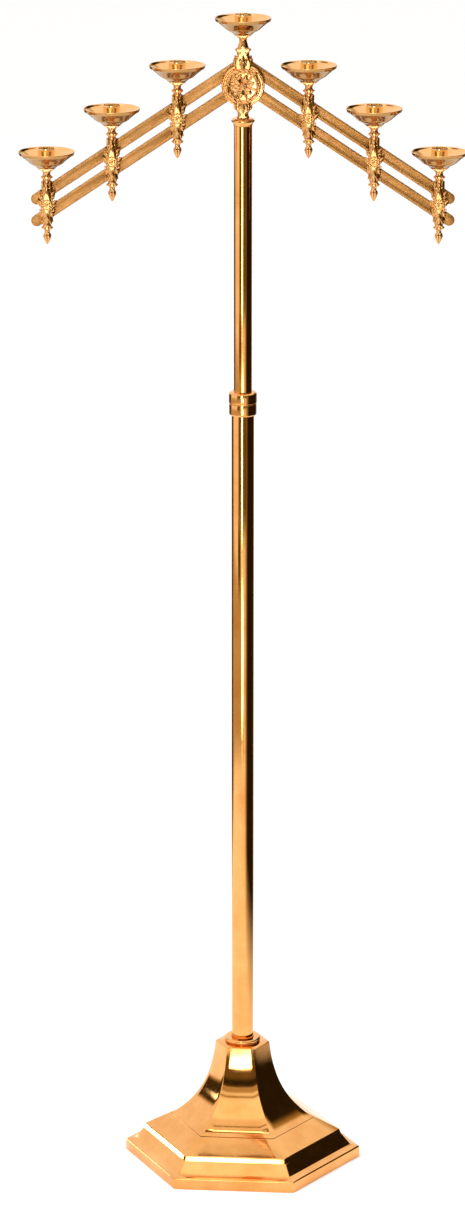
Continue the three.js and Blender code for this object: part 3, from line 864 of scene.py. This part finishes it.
def wreath(work, x, z, ahead, major, minor, bumps, depth):
    """A round moulding facing -Y, with a twist of bumps cut along its length."""
    rows = []
    around = bumps * 4
    for i in range(around):
        angle = 2 * math.pi * i / around
        row = []
        for j in range(12):
            turn = 2 * math.pi * j / 12
            swell = 1 + depth * math.cos(bumps * angle + turn)
            r = major + minor * swell * math.cos(turn)
            forward = ahead + minor * swell * math.sin(turn)
            row.append((x + r * math.cos(angle), -forward, z + r * math.sin(angle)))
        rows.append(row)
    sheet(work, rows, wrap_rows=True, wrap_columns=True)


def scroll(work, x, z, ahead, radius, thick, start, turns, hand):
    """A curled tendril facing -Y that tapers as it winds in to a ball."""
    rows = []
    steps = 34
    for i in range(steps + 1):
        t = i / steps
        angle = start + hand * turns * 2 * math.pi * t
        r = radius * (1 - 0.85 * t)
        body = thick * (1 - 0.45 * t) * min(1.0, 8 * (1 - t) + 0.02)
        centre = Vector((x + r * math.cos(angle), -ahead - 0.6 * thick * t, z + r * math.sin(angle)))
        outward = Vector((math.cos(angle), 0, math.sin(angle)))
        row = []
        for j in range(10):
            a = 2 * math.pi * j / 10
            row.append(centre + (outward * math.cos(a) + Vector((0, -1, 0)) * math.sin(a)) * body)
        rows.append(row)
    sheet(work, rows, wrap_columns=True)
    for row in (rows[0], rows[-1]):
        work.faces.new([work.verts.new(Vector(point) * MM) for point in row])


def baluster(work, outline, collars, sides=64):
    """A casting's flat-backed stem; each (low, high, petals, depth) collar has petals cut round it."""
    rows = []
    for radius, height in eased(outline, 3):
        row = []
        for i in range(sides):
            angle = 2 * math.pi * i / sides
            r = radius
            for low, high, petals, depth in collars:
                if low <= height <= high:
                    r *= 1 - depth * (1 - abs(math.cos(petals * angle / 2)) ** 0.7)
            y = r * math.sin(angle)
            row.append((r * math.cos(angle), min(max(y, CASTING_FRONT), CASTING_BACK), height))
        rows.append(row)
    sheet(work, rows, wrap_rows=True, wrap_columns=True)


def cast(name, work):
    """Ends a casting: welds its shells, turns their faces outward, and keeps only its sharpest edges."""
    bmesh.ops.remove_doubles(work, verts=work.verts, dist=2e-6)
    bmesh.ops.dissolve_degenerate(work, edges=work.edges, dist=1e-6)
    mesh = bpy.data.meshes.new(name)
    work.to_mesh(mesh)
    work.free()
    tidy(mesh, 50)
    return mesh


def seat(rim_rise):
    """The petalled cup under a pan and the stud through it, as the top of a casting's outline."""
    top = rim_rise - 24.3
    return [
        (5.0, top - 7.6, 1.0),
        (5.4, top - 5.0, 1.0),
        (8.6, top - 2.4, 1.0),
        (12.0, top - 0.5, 0.4),
        (11.8, top),
        (3.0, top),
        (3.0, top + 3.9),
        (0.01, top + 3.9),
    ]


ROSETTE_DROP = -15.5
holder = bmesh.new()
baluster(
    holder,
    [
        (0.01, -73.0),
        (1.6, -71.5, 0.6),
        (4.4, -65.5, 2.0),
        (5.8, -60.8, 1.2),
        (5.2, -58.0, 0.8),
        (3.4, -55.6, 0.8),
        (3.8, -52.4, 0.6),
        (7.9, -49.9, 0.5),
        (8.1, -48.2, 0.4),
        (5.6, -46.2, 0.8),
        (4.6, -43.0, 1.5),
        (5.2, -36.0, 3.0),
        (7.2, -26.0, 3.0),
        (8.8, -16.0, 5.0),
        (7.8, -5.0, 4.0),
        (6.6, 6.0, 3.0),
        (4.8, 14.5, 2.0),
        (5.0, 19.2, 1.0),
        (8.1, 22.2, 0.6),
        (8.3, 23.8, 0.5),
        (5.4, 25.8, 1.0),
        *seat(59.5),
    ],
    [(-72, -57, 6, 0.28), (-53, -47, 8, 0.30), (19, 25.9, 8, 0.28), (30, 35.25, 10, 0.20)],
)
for hand in (-1, 1):
    leaf(holder, (hand * 1.5, -4.5, -2), (hand * 5.8, -2.0, 19.0), 8.0, 2.2, 3, 1.6)
    leaf(holder, (hand * 3.5, -4.5, -12), (hand * 10.8, -2.5, 3.5), 8.0, 2.0, 3, 1.4)
    leaf(holder, (hand * 5.5, -4.0, -19), (hand * 13.6, -1.5, -9.5), 6.6, 1.8, 2, 1.2)
    leaf(holder, (hand * 4.0, -4.5, -20), (hand * 8.4, -1.5, -34.5), 7.6, 2.0, 3, 1.2)
    leaf(holder, (hand * 1.2, -3.2, -30), (hand * 5.6, -1.5, -45.0), 6.2, 1.6, 2, 1.0)
    leaf(holder, (hand * 4.6, 0.5, -26), (hand * 7.6, 2.5, -42.0), 7.0, 1.4, 2, 0.6, (hand, -0.2, 0))
    leaf(holder, (hand * 5.0, 0.5, -4), (hand * 6.6, 2.0, 17.0), 8.0, 1.4, 3, 0.8, (hand, -0.2, 0))
    scroll(holder, hand * 8.4, -22.5, 4.2, 3.2, 1.3, math.pi / 2, 1.1, hand)
leaf(holder, (0, -5.6, -4), (0, -5.0, 16.5), 7.0, 2.0, 3, 1.2)
leaf(holder, (0, -5.6, -25), (0, -3.6, -43.0), 6.6, 2.0, 3, 0.8)
boss(
    holder,
    0,
    ROSETTE_DROP,
    [(0.01, 3.0), (7.2, 3.0), (7.4, 6.2, 0.5), (5.6, 7.0, 0.6), (0.01, 6.6)],
)
wreath(holder, 0, ROSETTE_DROP, 7.2, 6.7, 1.35, 12, 0.22)
boss(
    holder,
    0,
    ROSETTE_DROP,
    [(0.01, 6.0), (4.6, 6.0), (4.8, 7.6, 0.5), (3.4, 8.6, 0.6), (0.01, 8.0)],
    6,
    0.34,
)
boss(holder, 0, ROSETTE_DROP, [(0.01, 7.0), (1.8, 7.4), (1.7, 8.8, 0.8), (0.01, 9.4)])
holder_mesh = cast("leafed_holder", holder)
for side, place in SIDES:
    name = f"{side}_{place}"
    low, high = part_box(name + "_upper_pin")
    pivot = ((low.x + high.x) / 2, 0, (low.z + high.z) / 2)
    as_piece(
        name + "_casting", holder_mesh, cast_brass, name + "_light", name + "_holder",
        spot=pivot,
    )


# ---- Hub casting ----
# The hub is the same kind of casting, larger: a stem that stands on the column's cap, a round plate
# that the arms fold against, a leafed knop over it and the seat of the middle light.

hub = bmesh.new()
baluster(
    hub,
    [
        (0.01, -76.4),
        (8.8, -76.4, 0.3),
        (8.8, -74.6, 0.6),
        (7.4, -72.6, 0.8),
        (7.6, -69.0, 1.0),
        (10.2, -65.6, 1.5),
        (11.4, -59.0, 3.0),
        (9.8, -52.6, 2.0),
        (8.6, -48.0, 1.5),
        (9.4, -40.0),
        (9.4, -11.0, 2.0),
        (11.6, -5.0, 2.5),
        (11.8, 3.0, 3.0),
        (8.6, 12.6, 2.5),
        (8.4, 15.6, 1.0),
        (11.1, 18.4, 0.6),
        (11.2, 20.4, 0.5),
        (7.6, 22.6, 1.0),
        (6.6, 27.0, 1.5),
        *seat(64.4),
    ],
    [(-72, -64, 10, 0.10), (15.7, 22.5, 8, 0.26), (35, 40.2, 10, 0.20)],
    sides=96,
)
for hand in (-1, 1):
    leaf(hub, (hand * 1.0, -6.0, -6), (hand * 6.2, -3.6, 14.5), 10.0, 2.6, 3, 1.6)
    leaf(hub, (hand * 5.0, -5.0, -8), (hand * 12.6, -2.0, 8.5), 9.5, 2.4, 3, 1.4)
    leaf(hub, (hand * 8.6, -1.5, -7), (hand * 11.2, 2.0, 11.0), 9.0, 1.6, 3, 0.6, (hand, -0.4, 0))
    leaf(hub, (hand * 2.0, -6.4, -52), (hand * 6.6, -5.0, -68.0), 9.0, 2.2, 3, 1.0)
    leaf(hub, (hand * 7.0, -3.0, -50), (hand * 11.2, -1.0, -65.0), 8.5, 2.0, 3, 0.8)
leaf(hub, (0, -6.4, -10), (0, -5.6, 13.0), 8.5, 2.6, 3, 1.4)
leaf(hub, (0, -6.4, -54), (0, -6.2, -70.0), 7.0, 2.4, 3, 0.6)
boss(
    hub,
    0,
    -PIVOT_DROP,
    [
        (0.01, -CASTING_BACK),
        (28.8, -CASTING_BACK, 0.4),
        (30.0, -5.6, 0.6),
        (30.0, 2.2, 0.8),
        (28.4, 4.0, 0.8),
        (26.6, 3.2, 0.6),
        (0.01, 3.2),
    ],
)
bmesh.ops.translate(hub, verts=hub.verts, vec=(0, 0, UPPER_PIVOT * MM))
hub_mesh = cast("leafed_hub", hub)
as_piece("leafed_hub", hub_mesh, cast_brass, "head", "hub_casting")


# ---- Centre medallion ----
# A separate round casting hides the clamp bolt's head: a wreath of leaves round an open flower on a
# dished ground. The clamp bolt is screwed into it from behind.

FACE = 4.3
medallion = bmesh.new()
boss(
    medallion,
    0,
    0,
    [
        (0.01, FACE),
        (24.6, FACE, 0.5),
        (25.0, 7.6, 1.0),
        (21.0, 8.2, 1.0),
        (19.0, 6.6, 1.0),
        (8.0, 6.0, 2.0),
        (0.01, 6.6),
    ],
)
wreath(medallion, 0, 0, 7.6, 22.8, 1.9, 30, 0.20)
WREATH_LEAVES = 18
for i in range(WREATH_LEAVES):
    a = 2 * math.pi * i / WREATH_LEAVES
    lead = 0.52 if i % 2 else 0.36
    reach = 24.6 if i % 2 else 19.4
    root = (21.6 * math.cos(a), -8.0, 21.6 * math.sin(a))
    tip = (reach * math.cos(a + lead), -8.2, reach * math.sin(a + lead))
    leaf(medallion, root, tip, 5.4, 2.4, 2, 0.7)
PETALS = 6
for i in range(PETALS):
    a = 2 * math.pi * (i + 0.25) / PETALS
    b = a + math.pi / PETALS
    outer = (16.6 * math.cos(a), -8.6, 16.6 * math.sin(a))
    leaf(medallion, (3 * math.cos(a), -6.6, 3 * math.sin(a)), outer, 9.4, 2.4, 3, 0.6)
    tuft = (18.6 * math.cos(b), -7.2, 18.6 * math.sin(b))
    leaf(medallion, (8 * math.cos(b), -6.2, 8 * math.sin(b)), tuft, 5.0, 1.8, 2, 0.8)
    scroll(medallion, 15.2 * math.cos(b), 15.2 * math.sin(b), 7.2, 2.2, 0.9, b, 1.1, 1 - 2 * (i % 2))
boss(medallion, 0, 0, [(0.01, 6.0), (5.4, 6.6), (5.4, 9.6, 0.8), (0.01, 11.0)], 8, 0.3)
boss(medallion, 0, 0, [(0.01, 8.0), (2.4, 9.0), (2.2, 11.2, 1.0), (0.01, 11.9)])
bmesh.ops.translate(medallion, verts=medallion.verts, vec=(0, 0, LOWER_PIVOT * MM))
medallion_mesh = cast("wreath_medallion", medallion)
as_piece(
    "wreath_medallion", medallion_mesh, cast_brass, "head", "centre_medallion"
)


# ---- Hub bolts, nuts and washers ----
# Behind the hub a plated bolt and an acorn nut hold the upper bars, and the clamp bolt runs through
# the lower ones. Both bear on turned washers, with room for the bars to swing.


def hub_hardware(name, outline, cad_node, height, flats=0):
    """A turned washer or nut that lies along +Y behind the hub, with flats milled on a nut."""

    def milled(radius, level, angle):
        step = 2 * math.pi / flats
        off = (angle % step) - step / 2
        return radius * math.cos(step / 2) / math.cos(off)

    mesh = turned(name, outline, sides=72, sharp_deg=35, shape=milled if flats else None)
    laid_back(mesh, 0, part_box(cad_node)[0].y / MM, height)
    as_piece(name, mesh, turned_brass, "head", cad_node)


for name, bore, cad_node, height in (
    ("pivot_washer", PIVOT_BORE, "upper_pivot_washer", UPPER_PIVOT),
    ("clamp_washer", CLAMP_BORE, "arm_clamp_washer", LOWER_PIVOT),
):
    outline = [(bore, 0.0, 0.2), (8.0, 0.0, 0.3), (8.0, 1.2, 0.4), (bore, 1.2, 0.2)]
    hub_hardware(name, outline, cad_node, height)
acorn = [
    (PIVOT_BORE, 0.0),
    (6.0, 0.0, 0.3),
    (6.1, 4.4, 0.4),
    (5.0, 5.0, 0.3),
    (4.6, 6.6, 1.5),
    (2.6, 8.2, 1.5),
    (0.01, 8.5),
    (0.01, 5.5),
    (PIVOT_BORE, 5.5),
]
hub_hardware("acorn_nut", acorn, "upper_pivot_nut", UPPER_PIVOT, flats=6)
finish_node("upper_pivot_bolt", plated_steel)
finish_node("arm_clamp_bolt", plated_steel)


# ---- Studio ----
# A pale floor, soft light from above, and a white surround whose brighter and darker panels are what
# the polished brass mirrors: a soft box in front, shade to the right, a bright sweep overhead.

scene = bpy.context.scene
scene.view_settings.view_transform = "Standard"
world = bpy.data.worlds.new("studio surround")
scene.world = world
world.use_nodes = True
sky = world.node_tree
sky.nodes.clear()
direction = node(sky, "ShaderNodeTexCoord").outputs["Generated"]
axes = node(sky, "ShaderNodeSeparateXYZ")
sky.links.new(direction, axes.inputs[0])


def math_node(tree, operation, *values):
    """The result of one sum; each value is a number or a socket."""
    made = node(tree, "ShaderNodeMath", operation=operation)
    for slot, value in enumerate(values):
        if isinstance(value, (int, float)):
            made.inputs[slot].default_value = value
        else:
            tree.links.new(value, made.inputs[slot])
    return made.outputs[0]


backward = math_node(sky, "MULTIPLY", axes.outputs["Y"], -1.0)
azimuth = math_node(
    sky, "MULTIPLY", math_node(sky, "ARCTAN2", axes.outputs["X"], backward), 180 / math.pi
)
elevation = math_node(
    sky, "MULTIPLY", math_node(sky, "ARCSINE", axes.outputs["Z"]), 180 / math.pi
)


def panel(az_low, az_high, el_low, el_high, soft_az, soft_el):
    """How far a direction lies inside a soft-edged panel of the surround, from 0 to 1."""
    inside = ramp(sky, azimuth, az_low - soft_az, az_low + soft_az)
    for value, edge, soft in (
        (azimuth, az_high, -soft_az),
        (elevation, el_low, soft_el),
        (elevation, el_high, -soft_el),
    ):
        inside = math_node(sky, "MULTIPLY", inside, ramp(sky, value, edge - soft, edge + soft))
    return inside


# A panel is (brightness, (left, right, bottom, top, softness across, softness up)) in degrees, with
# 0 across at the front and the right positive. Each is laid over those before it.
BASE_LEVEL = 1.1
PANELS = [
    (0.12, (-220, -112, -24, -7, 6, 2)),  # shade near the floor, from the left round to the back
    (0.60, (-108, 12, -18, -12, 5, 0.8)),  # half shade from the left to the front
    (0.10, (-152, -116, -13, -9.9, 8, 0.6)),  # dark rail at the left
    (0.10, (-50, -22, -12.2, -9.9, 5, 0.5)),  # dark rail left of the front
    (0.05, (-128, -106, -4, 12, 1.5, 2)),  # dark screen at the left
    (8.00, (-122, -118, 5, 8, 1.2, 1)),  # small lamp on that screen
    (0.02, (34, 150, -30, 35, 20, 5)),  # black curtain down the right side
    (0.10, (150, 220, -30, -5, 12, 4)),  # shade near the floor at the back
    (0.16, (-46, 40, -9.9, 17, 8, 0.8)),  # dim screen at the front
    (0.03, (-40, 40, 9, 16, 8, 2.5)),  # black strip along its top
    (0.55, (-40, 40, 17, 23, 8, 1)),  # first half-bright strip above it
    (0.45, (-40, 40, 27, 29.5, 8, 1)),  # second half-bright strip
    (1.45, (-60, 40, 32, 60, 10, 3)),  # broad soft box over the front
    (10.0, (-15, -2, -9.9, 0.6, 1, 0.5)),  # tall lamp low at the front
    (9.00, (-13, 4, -16.9, -12, 3, 0.7)),  # second lamp below it
    (0.22, (-30, 60, 69.5, 71, 10, 0.6)),  # dark slat overhead
    (0.35, (-30, 60, 75, 77, 10, 0.8)),  # second dark slat
    (0.98, (-400, 400, 80, 400, 1, 1.0)),  # ceiling
    (0.10, (-125, -72, 76, 86, 8, 1)),  # dark opening in the ceiling at the left
    (4.00, (-56, -30, 76, 86, 5, 1)),  # ceiling lamp
    (0.30, (4, 22, 76, 86, 4, 1)),  # dark strip beside it
    (0.10, (72, 125, 76, 86, 8, 1)),  # dark opening at the right
    (2.50, (-400, 400, 86.5, 400, 1, 0.8)),  # lamp straight above
]
brightness = None
for level, edges in PANELS:
    inside = panel(*edges)
    mix = node(sky, "ShaderNodeMix", data_type="FLOAT")
    sky.links.new(inside, mix.inputs["Factor"])
    if brightness is None:
        mix.inputs[2].default_value = BASE_LEVEL
    else:
        sky.links.new(brightness, mix.inputs[2])
    mix.inputs[3].default_value = level
    brightness = mix.outputs[0]

SURROUND_WHITE = 1.08
SHADE_TINT = (1.0, 0.74, 0.24)
LIGHT_TINT = (1.0, 0.99, 0.97)
ray = node(sky, "ShaderNodeLightPath")
warmth = ramp(sky, brightness, 0.2, 1.1)
tint = blend_colours(sky, warmth, SHADE_TINT, LIGHT_TINT)
mirrored = node(sky, "ShaderNodeBackground")
sky.links.new(tint, mirrored.inputs["Color"])
sky.links.new(brightness, mirrored.inputs["Strength"])
plain = node(sky, "ShaderNodeBackground", Color=(1.0, 1.0, 1.0, 1.0), Strength=SURROUND_WHITE)
chosen = node(sky, "ShaderNodeMixShader")
sky.links.new(ray.outputs["Is Glossy Ray"], chosen.inputs[0])
sky.links.new(plain.outputs[0], chosen.inputs[1])
sky.links.new(mirrored.outputs[0], chosen.inputs[2])
sky.links.new(chosen.outputs[0], node(sky, "ShaderNodeOutputWorld").inputs["Surface"])

# Brass mirrors only the floor near the base. Further out the floor gives way to the surround.
FLOOR_HALF = 40.0
NEAR_FLOOR = 0.8
NEAR_FLOOR_CENTRE = (-0.5, -0.15, 0.0)
floor_mesh = bpy.data.meshes.new("studio_floor")
corners = [(-1, -1), (1, -1), (1, 1), (-1, 1)]
floor_mesh.from_pydata([(x * FLOOR_HALF, y * FLOOR_HALF, 0) for x, y in corners], [], [(0, 1, 2, 3)])
floor_material = bpy.data.materials.new("pale floor")
floor_material.use_nodes = True
floor_tree = floor_material.node_tree
floor_tree.nodes.clear()
grain = node(floor_tree, "ShaderNodeTexNoise", Scale=3.0, Detail=4.0)
paint = node(floor_tree, "ShaderNodeBsdfDiffuse", Roughness=0.4)
shade = blend_colours(floor_tree, grain.outputs["Fac"], (0.90, 0.895, 0.885), (0.93, 0.925, 0.92))
floor_tree.links.new(shade, paint.inputs["Color"])
reach = node(floor_tree, "ShaderNodeVectorMath", operation="DISTANCE")
floor_place = node(floor_tree, "ShaderNodeTexCoord").outputs["Object"]
floor_tree.links.new(floor_place, reach.inputs[0])
reach.inputs[1].default_value = NEAR_FLOOR_CENTRE
far = ramp(floor_tree, reach.outputs["Value"], NEAR_FLOOR, NEAR_FLOOR * 2)
floor_ray = node(floor_tree, "ShaderNodeLightPath")
gone = math_node(floor_tree, "MULTIPLY", far, floor_ray.outputs["Is Glossy Ray"])
clear = node(floor_tree, "ShaderNodeBsdfTransparent")
floor_mix = node(floor_tree, "ShaderNodeMixShader")
floor_tree.links.new(gone, floor_mix.inputs[0])
floor_tree.links.new(paint.outputs[0], floor_mix.inputs[1])
floor_tree.links.new(clear.outputs[0], floor_mix.inputs[2])
floor_tree.links.new(
    floor_mix.outputs[0], node(floor_tree, "ShaderNodeOutputMaterial").inputs["Surface"]
)
floor_mesh.materials.append(floor_material)
floor = bpy.data.objects.new("studio_floor", floor_mesh)
scene.collection.objects.link(floor)

overhead = bpy.data.lights.new("overhead soft box", "AREA")
overhead.shape = "DISK"
overhead.size = 3.0
overhead.energy = 90.0
overhead_lamp = bpy.data.objects.new("overhead soft box", overhead)
overhead_lamp.location = (-1.2, -0.9, 4.2)
towards_stand = Vector((0, 0, 0.6)) - overhead_lamp.location
overhead_lamp.rotation_euler = towards_stand.to_track_quat("-Z", "Y").to_euler()
overhead_lamp.visible_glossy = False
scene.collection.objects.link(overhead_lamp)

# Two small strip lights that only polished metal sees: each whitens one edge of the plinth's roof.
# Louvres keep their light to a narrow cone, so that the column above doesn't catch it.
STRIP_HEIGHT = 0.03
STRIP_LEVEL = 0.9
STRIP_SPREAD = math.radians(60)
for name, spot, facing_deg, dip_deg, width in (
    ("front strip light", (-0.042, -0.304, 0.091), -10.0, 16.5, 0.28),
    ("left strip light", (-0.283, 0.055, 0.031), -123.0, -2.5, 0.16),
):
    strip = bpy.data.lights.new(name, "AREA")
    strip.shape = "RECTANGLE"
    strip.size = width
    strip.size_y = STRIP_HEIGHT
    strip.energy = STRIP_LEVEL * math.pi * width * STRIP_HEIGHT
    strip.spread = STRIP_SPREAD
    lamp = bpy.data.objects.new(name, strip)
    lamp.location = spot
    lamp.rotation_euler = (math.radians(90 - dip_deg), 0, math.radians(facing_deg))
    lamp.visible_camera = False
    lamp.visible_diffuse = False
    scene.collection.objects.link(lamp)

CAMERA_PLACE = (-0.0147, -6.899, 2.789)
CAMERA_TILT = math.radians(74.24)
camera = bpy.data.cameras.new("studio camera")
camera.sensor_width = 36.0
camera.lens = 148.9
camera_stand = bpy.data.objects.new("studio camera", camera)
camera_stand.location = CAMERA_PLACE
camera_stand.rotation_euler = (CAMERA_TILT, 0, 0)
scene.collection.objects.link(camera_stand)
scene.camera = camera_stand
